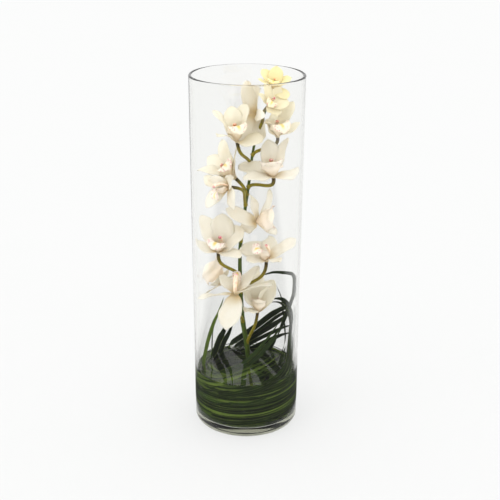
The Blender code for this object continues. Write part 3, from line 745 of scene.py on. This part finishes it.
def tepal_width(part):
    """The outline of a tepal, as a part of its half width."""
    body = (part / 0.58) ** 0.82 * (max(0, 1 - part) / 0.42) ** 0.62
    return 0.16 * (1 - part) ** 2 + min(1, body) * (1 - 0.25 * max(0, part - 0.85) / 0.15)


def tepal_sheet(tepal, form, folded, chance, turned_by):
    """Rows of (front, back, across, along) points in the bloom's own right, forward, up."""
    lift, sweep, length, width = form
    clock = radians(tepal.clock)
    twist = chance.uniform(-14, 14)
    twist = radians(turned_by or twist)
    curl = chance.uniform(-6, 10)
    ruffle = chance.uniform(0.0009, 0.0021)
    phase = chance.uniform(0, 6.3)
    reach = length * tepal.length * BLOOM_LENGTH
    half_width = TEPAL_FULLNESS * tepal.width * width * BLOOM_LENGTH / 2
    cupped = FOLDED_CUP if folded else tepal.cup
    forward = Vector((0, 1, 0))
    centre = Vector((sin(clock), 0, cos(clock))) * HUB_RADIUS * 0.25
    rows = []
    stride = (reach - HUB_RADIUS * 0.4) / (TEPAL_ROWS - 1)
    for part in shares(TEPAL_ROWS - 1):
        turn = clock + radians(sweep) * part
        out = Vector((sin(turn), 0, cos(turn)))
        side = Vector((cos(turn), 0, -sin(turn)))
        slope = radians(lift + 14 - 34 * part**1.4 - curl * part**4)
        if part:
            centre = centre + stride * (out * cos(slope) + forward * sin(slope))
        face = forward * cos(slope) - out * sin(slope)
        rolled = twist * part**1.5
        side, face = side * cos(rolled) + face * sin(rolled), face * cos(rolled) - side * sin(rolled)
        half = half_width * tepal_width(part) + 0.0002
        points = []
        for across in (2 * share - 1 for share in shares(TEPAL_COLUMNS - 1)):
            cup = cupped * half * across**2
            cup += 0.35 * half * across**2 * max(0, 1 - part / 0.35)
            cup -= 0.10 * half * max(0, abs(across) - 0.6) ** 2 / 0.16
            wave = ruffle * across**2 * sin(9.5 * part + phase + 1.7 * across) * min(1, 2 * part)
            groove = -0.00035 * exp(-(across / 0.10) ** 2) * (1 - part)
            thick = 0.0011 - 0.0006 * abs(across) ** 1.5 - 0.0003 * part
            front = centre + side * half * across + face * (cup + wave + groove + thick / 2)
            back = centre + side * half * across * 0.985 + face * (cup + wave - thick / 2)
            points.append((front, back, across, part))
        rows.append(points)
    return rows


def marked_shape(names):
    """An empty bmesh, and a layer for each name that stores a number on each vertex."""
    shape = bmesh.new()
    return shape, [shape.verts.layers.float.new(name) for name in names]


def mark(vertex, layers, values):
    """Stores a number on a vertex in each layer, and returns it."""
    for layer, value in zip(layers, values):
        vertex[layer] = value
    return vertex


def skin_loops(shape, loops):
    """Faces between each closed loop of corners and the next."""
    for lower, upper in zip(loops, loops[1:]):
        for corners in zip(lower, lower[1:] + lower[:1], upper[1:] + upper[:1], upper):
            shape.faces.new(corners)


def add_sheet(shape, bloom, rows, layers):
    """A closed thin sheet through rows of front and back points."""
    loops = []
    for points in rows:
        corners = []
        for front, back, across, along in points:
            for point, face in ((front, 1), (back, 0)):
                vertex = shape.verts.new(in_vase(bloom, *point))
                corners.append(mark(vertex, layers, (across, along, face, bloom.young)))
        # Across the front, then back across the rear.
        loops.append(corners[::2] + corners[:0:-2])
    skin_loops(shape, loops)
    for loop in (loops[0], loops[-1]):
        for i in range(len(loop) // 2 - 1):
            shape.faces.new((loop[i], loop[i + 1], loop[-2 - i], loop[-1 - i]))


def bloom_part(name, number, shape, skin):
    """Makes a part of a bloom a piece and hands it over."""
    hand_over(new_piece(f"{name}_{number:02d}", shape, skin), f"bloom_{number:02d}_{name}")


# Cymbidium tepal: cream, thick and waxy, lit through from behind, with fine veins along it, tan to olive
# where it leaves the ovary. A young one is yellow.
tepal_skin, tree, place, across, along, front, young = new_material("cymbidium_tepal_wax", *PETAL_MARKS)
clouds = add(tree, "TexNoise", {"Vector": place, "Scale": 90.0, "Detail": 3.0})
base = add(tree, "MapRange", (along, 0, 0.42, 1, 0), interpolation_type="SMOOTHSTEP")
uneven = add(tree, "MapRange", (clouds, 0.3, 0.7, 0.35, 0.85))
tan_part = add(tree, "Math", (base, uneven), operation="MULTIPLY")
# Soft warm patches about 10 mm across, as on a petal a few days old.
patches = add(tree, "TexNoise", {"Vector": place, "Scale": 55.0})
aged = add(tree, "MapRange", (patches, 0.48, 0.75, 0, 0.16))
colour = washed(
    tree, "#f8f3e6", (front, "#faf7ee"), (young, "#f8efba"), (tan_part, "#dcc27c"), (aged, "#e6d2a4"))
# About twenty veins in the width of a tepal, a millimetre apart.
veins = fibres(tree, (across, along), {"Scale": 3.2, "Distortion": 1.2, "Detail": 1, "Detail Scale": 2.0})
veined = shaded(tree, colour, veins, 0, 1, 0.90, 1.03)
wax = coated(tree, veined, veins, 0.25, 0.0002, {"Roughness": 0.48, "IOR": 1.42, "Sheen Weight": 0.15})
thin_sheet(tree, wax, add(tree, "HueSaturation", {"Color": veined, "Saturation": 1.2}), 0.45)

for number, bloom in enumerate(BLOOMS, 1):
    shape, layers = marked_shape(PETAL_MARKS)
    chance = random.Random(100 + number)
    for tepal, form in zip(TEPALS, FORMS[number]):
        which = (number, tepal.clock)
        add_sheet(shape, bloom, tepal_sheet(tepal, form, which in FOLDED, chance, TWISTED.get(which)), layers)
    # The round base that the tepals leave.
    for vertex in bmesh.ops.create_icosphere(shape, subdivisions=3, radius=BASE_RADIUS)["verts"]:
        right, forward, up = vertex.co
        vertex.co = in_vase(bloom, right, forward / 2 - BASE_BACK, up)
        mark(vertex, layers, (0, 0.05, 1, bloom.young))
    bloom_part("tepals", number, shape, tepal_skin)


# ---- The lips ----
# The lip is the third petal: a boat whose side lobes stand up round the column, with two yellow ridges in its
# throat, and a ruffled front lobe that turns down. Pink spots line its edges.

LIP_COLUMNS = 19
# The lip's middle line: how far forward and up it lies, half its width, and how far its sides curl inwards.
LIP_LINE = (
    (0.0021, -0.0034, 0.002, 75),
    (0.0085, -0.0075, 0.011, 95),
    (0.0165, -0.0115, 0.0165, 88),
    (0.0225, -0.0095, 0.0125, 60),
    (0.0275, -0.0125, 0.0115, 22),
    (0.029, -0.019, 0.0115, -6),
    (0.0255, -0.0245, 0.0085, -20),
    (0.0215, -0.0265, 0.004, -10),
)
# The same for the front lobe of a lip that is still closed, in place of the last four points.
CLOSED_LOBE = (
    (0.0275, -0.0135, 0.015, 75),
    (0.032, -0.012, 0.0145, 68),
    (0.0345, -0.0098, 0.0105, 60),
    (0.0355, -0.008, 0.0045, 50),
)
# The lip of each bloom: how far it is turned round from the foot of the bloom, how open it is, its size, and
# its width as a part of the usual.
Lip = namedtuple("Lip", "turn open size wide")
LIPS = (
    Lip(0, 0.7, 1.15, 1), Lip(0, 1, 1, 1), Lip(0, 1, 1, 1), Lip(8, 1, 1.1, 1),
    Lip(10, 1, 1.1, 1), Lip(0, 0.3, 0.95, 1.35), Lip(0, 1, 1, 1), Lip(8, 0.9, 0.9, 1),
    Lip(-125, 0.15, 1.15, 1.3), Lip(-12, 0.9, 0.95, 1), Lip(-35, 0.9, 0.95, 1), Lip(60, 0.1, 1.25, 1.5),
    Lip(0, 0, 0.85, 0.6), Lip(-25, 0.2, 1, 1),
)
# Cymbidium lip: thinner wax than a tepal's, ivory with pink spots a couple of millimetres apart near its
# edges, yellow ridges in its throat, painted shade of warm tan deep in the throat, and faint tan veins on its
# back.
lip_skin, tree, place, across, along, front, young = new_material("cymbidium_lip_wax", *PETAL_MARKS)
edge = add(tree, "Math", (across,), operation="ABSOLUTE")
cells = add(tree, "TexVoronoi", {"Vector": place, "Scale": 420.0})
spots = add(tree, "MapRange", (cells, 0.30, 0.48, 1, 0))
near_edge = add(tree, "MapRange", (edge, 0.38, 0.62))
past_throat = add(tree, "MapRange", (along, 0.30, 0.5))
inner_face = add(tree, "MapRange", (front, 0, 1, 0.03, 0.66))
for share in (near_edge, past_throat, inner_face):
    spots = add(tree, "Math", (spots, share), operation="MULTIPLY")
yellow = add(tree, "MapRange", (edge, 0.10, 0.26, 1, 0))
throat = add(tree, "MapRange", (along, 0.74, 0.86, 1, 0))
for share in (throat, front, 0.8):
    yellow = add(tree, "Math", (yellow, share), operation="MULTIPLY")
# Darker warm tan towards the base of the lip: painted shade in the hollow of its throat.
painted_throat_shade = add(tree, "MapRange", (along, 0, 0.45, 0.55, 0))
veins = fibres(tree, (across, along), {"Scale": 2.6, "Distortion": 1.5, "Detail": 1})
outside = add(tree, "Math", (1, front), operation="SUBTRACT")
lines = add(tree, "MapRange", (veins, 0.62, 0.92, 0, 0.30))
lined = add(tree, "Math", (lines, outside), operation="MULTIPLY")
colour = washed(tree, "#fcf6ea", (young, "#faec9e"), (painted_throat_shade, "#ecca98"), (yellow, "#ecd04e"),
                (spots, "#cf5f78"), (lined, "#dcb48e"))
veined = shaded(tree, colour, veins, 0, 1, 0.94, 1.02)
wax = coated(tree, veined, veins, 0.3, 0.0002, {"Roughness": 0.45, "IOR": 1.42, "Sheen Weight": 0.2})
thin_sheet(tree, wax, veined, 0.25)


def swung(lip, point):
    """A point of the lip or the column, turned about the way the bloom faces."""
    return Matrix.Rotation(radians(-lip.turn), 3, "Y") @ point


def lip_sheet(lip, chance):
    """Rows of (front, back, across, along) points of a lip, with its throat ridges and ruffled front lobe."""
    throat, lobe = LIP_LINE[:-4], LIP_LINE[-4:]
    lobe = [Vector(shut).lerp(Vector(wide), lip.open) for shut, wide in zip(CLOSED_LOBE, lobe)]
    line = smooth_line([(forward, up, 0) for forward, up, _, _ in (*throat, *lobe)], 5)
    sizes = smooth_line([(half, curl, 0) for _, _, half, curl in (*throat, *lobe)], 5)
    phase = chance.uniform(0, 6.3)
    padded = [line[0], *line, line[-1]]
    rows = []
    for before, centre, after, size, part in zip(padded, line, padded[2:], sizes, shares(len(line) - 1)):
        run = (after - before).normalized()
        inward = Vector((0, -run.y, run.x))
        centre = Vector((0, centre.x, centre.y))
        half = lip.wide * size.x * (1 - max(0, part - 0.88) / 0.12 * 0.35)
        curl = radians(size.y if abs(size.y) > 2 else copysign(2.0, size.y))
        bend = half / curl
        lobe = max(0, part - 0.55) / 0.45
        points = []
        for across in (2 * share - 1 for share in shares(LIP_COLUMNS - 1)):
            toward = inward * cos(curl * across) - Vector((1, 0, 0)) * sin(curl * across)
            ruffle = 0.0011 * lobe * across**2 * sin(7.5 * across + 11 * part + phase)
            ruffle -= 0.0013 * lobe * abs(across) ** 3
            ridge = 0.0007 * exp(-((abs(across) - 0.13) / 0.06) ** 2) * max(0, 1 - abs(part - 0.38) / 0.3)
            skin = centre + inward * bend - toward * bend
            thick = 0.0009 - 0.0004 * abs(across)
            front = skin + toward * (ruffle + ridge)
            back = skin + toward * (ruffle - thick)
            points.append((swung(lip, front) * lip.size, swung(lip, back) * lip.size, across, part))
        rows.append(points)
    return rows


for number, (bloom, lip) in enumerate(zip(BLOOMS, LIPS), 1):
    shape, layers = marked_shape(PETAL_MARKS)
    add_sheet(shape, bloom, lip_sheet(lip, random.Random(200 + number)), layers)
    bloom_part("lip", number, shape, lip_skin)


# ---- The columns ----
# The column arches over the lip from the middle of the bloom, grown as one with its base: cream wax with a
# rosy blush, and the coloured anther cap on its end.

COLUMN_SIDES = 18
# The column's middle line: how far forward and up it lies, and its radius.
COLUMN_LINE = (
    (0.0024, 0.002, 0.0019),
    (0.0095, 0.0036, 0.0023),
    (0.018, 0.0032, 0.0026),
    (0.0235, 0.0012, 0.0027),
    (0.0266, -0.0012, 0.0023),
    (0.0278, -0.003, 0.0008),
)
# Orchid column: smooth wax, cream with a rosy blush; the cap's colour is worn pale in places.
column_skin, tree, place, along, cap = new_material("orchid_column_wax", "along", "cap")
blush = add(tree, "TexNoise", {"Vector": place, "Scale": 300.0})
caps = add(tree, "ValToRGB", (cap,))
caps.color_ramp.elements[0].color = linear("#d8895c")
caps.color_ramp.elements[1].color = linear("#e88fba")
caps.color_ramp.elements.new(0.5).color = linear("#b84a5c")
flushed = add(tree, "MapRange", (blush, 0.4, 0.7))
worn = add(tree, "MapRange", (blush, 0.42, 0.62, 0, 0.7))
capped = add(tree, "MapRange", (along, 0.74, 0.80))
pale_cap = washed(tree, caps, (worn, "#f3d9c8"))
colour = washed(tree, "#f8ead4", (flushed, "#efc9b0"), (capped, pale_cap))
wax = coated(tree, colour, blush, 0.2, 0.0002, {
    "Roughness": 0.38, "IOR": 1.42, "Subsurface Weight": 0.15, "Subsurface Scale": 0.001,
    "Subsurface Radius": (1, 0.6, 0.4)})
add(tree, "OutputMaterial", {"Surface": wax})

line = smooth_line(COLUMN_LINE, 5)
padded = [line[0], *line, line[-1]]
for number, (bloom, lip) in enumerate(zip(BLOOMS, LIPS), 1):
    shape, layers = marked_shape(("along", "cap"))
    rings = []
    for before, (forward, up, radius), after, part in zip(padded, line, padded[2:], shares(len(line) - 1)):
        run = Vector((0, after.x - before.x, after.y - before.y)).normalized()
        upward = Vector((0, -run.z, run.y))
        rings.append([])
        for angle in (2 * pi * share for share in shares(COLUMN_SIDES)[:-1]):
            rise = radius * sin(angle) * (1 if sin(angle) > 0 else 0.7)
            corner = Vector((1.15 * radius * cos(angle), forward, up)) + upward * rise
            vertex = shape.verts.new(in_vase(bloom, *swung(lip, corner)))
            rings[-1].append(mark(vertex, layers, (part, bloom.cap)))
    skin_loops(shape, rings)
    shape.faces.new(rings[0])
    shape.faces.new(rings[-1])
    bloom_part("column", number, shape, column_skin)


# ---- The floor, the light and the camera ----
# A light table of white acrylic under an even studio sky, with a soft lamp up to the left. Seen mirrored, it
# is dark round and before the vase, as if black card lay there, and doesn't veil the glass. Table and sky
# light what stands between them more strongly than they show.


def hidden_gain(tree, lighting, showing):
    """A light's strength: what it gives, and the lower one that it shows to the eye, also past the glass."""
    path = add(tree, "LightPath").outputs
    shown = path["Is Camera Ray"]
    for way in ("Is Glossy Ray", "Is Transmission Ray"):
        shown = add(tree, "Math", (shown, path[way]), operation="MAXIMUM")
    return add(tree, "MapRange", (shown, 0, 1, lighting, showing))


floor_shape = bmesh.new()
bmesh.ops.create_grid(floor_shape, x_segments=1, y_segments=1, size=9.0)
table, tree, place = new_material("lit_white_acrylic")
cast = add(tree, "TexNoise", {"Vector": place, "Scale": 4.0})
whites = washed(tree, "#fafbfa", (cast, "#fbfbfb"))
matt = add(tree, "BsdfDiffuse", {"Color": whites})
lit = add(tree, "Emission", {"Color": whites, "Strength": hidden_gain(tree, 1.25, 0.795)})
bright = add(tree, "MixShader", (0.8, matt, lit))
# The card: a ring that starts at the vase's foot and ends a little behind it, seen once mirrored.
depth = add(tree, "LightPath", output="Glossy Depth")
mirrored = add(tree, "Math", (depth, 1, 0.1), operation="COMPARE")
from_vase = add(tree, "VectorMath", (place,), operation="LENGTH")
from_front = add(tree, "VectorMath", (place, (0, -1, 0)), operation="DISTANCE")
for share in (add(tree, "MapRange", (from_vase, 0.090, 0.105)),
              add(tree, "MapRange", (from_front, 1.10, 1.20, 1, 0))):
    mirrored = add(tree, "Math", (mirrored, share), operation="MULTIPLY")
card = add(tree, "BsdfDiffuse", {"Color": "#444444"})
add(tree, "OutputMaterial", {"Surface": add(tree, "MixShader", (mirrored, bright, card))})
floor = new_piece("light_table", floor_shape, table)
floor.location.z = -0.0002

world = bpy.data.worlds.new("studio_sky")
bpy.context.scene.world = world
world.use_nodes = True
tree = world.node_tree
tree.nodes["Background"].inputs["Color"].default_value = linear("#ffffff")
tree.links.new(hidden_gain(tree, 1.75, 0.97).outputs[0], tree.nodes["Background"].inputs["Strength"])

lamp_data = bpy.data.lights.new("soft_lamp", "SUN")
lamp_data.energy = 0.5
lamp_data.angle = radians(40)
lamp = put("soft_lamp", lamp_data)
lamp.location = (-1, -0.9, 2.0)
lamp.rotation_euler = (-lamp.location).to_track_quat("-Z", "Y").to_euler()

camera_data = bpy.data.cameras.new("camera")
camera_data.lens = 73.87
camera_data.sensor_width = 36.0
camera = put("camera", camera_data)
aim = (Matrix.Rotation(radians(-0.202), 4, "Z") @ Matrix.Rotation(radians(90 - 20.30), 4, "X")
       @ Matrix.Rotation(radians(0.282), 4, "Z"))
camera.matrix_world = Matrix.Translation((0, -1.331, 0.748)) @ aim
bpy.context.scene.camera = camera
bpy.context.scene.view_settings.view_transform = "Standard"
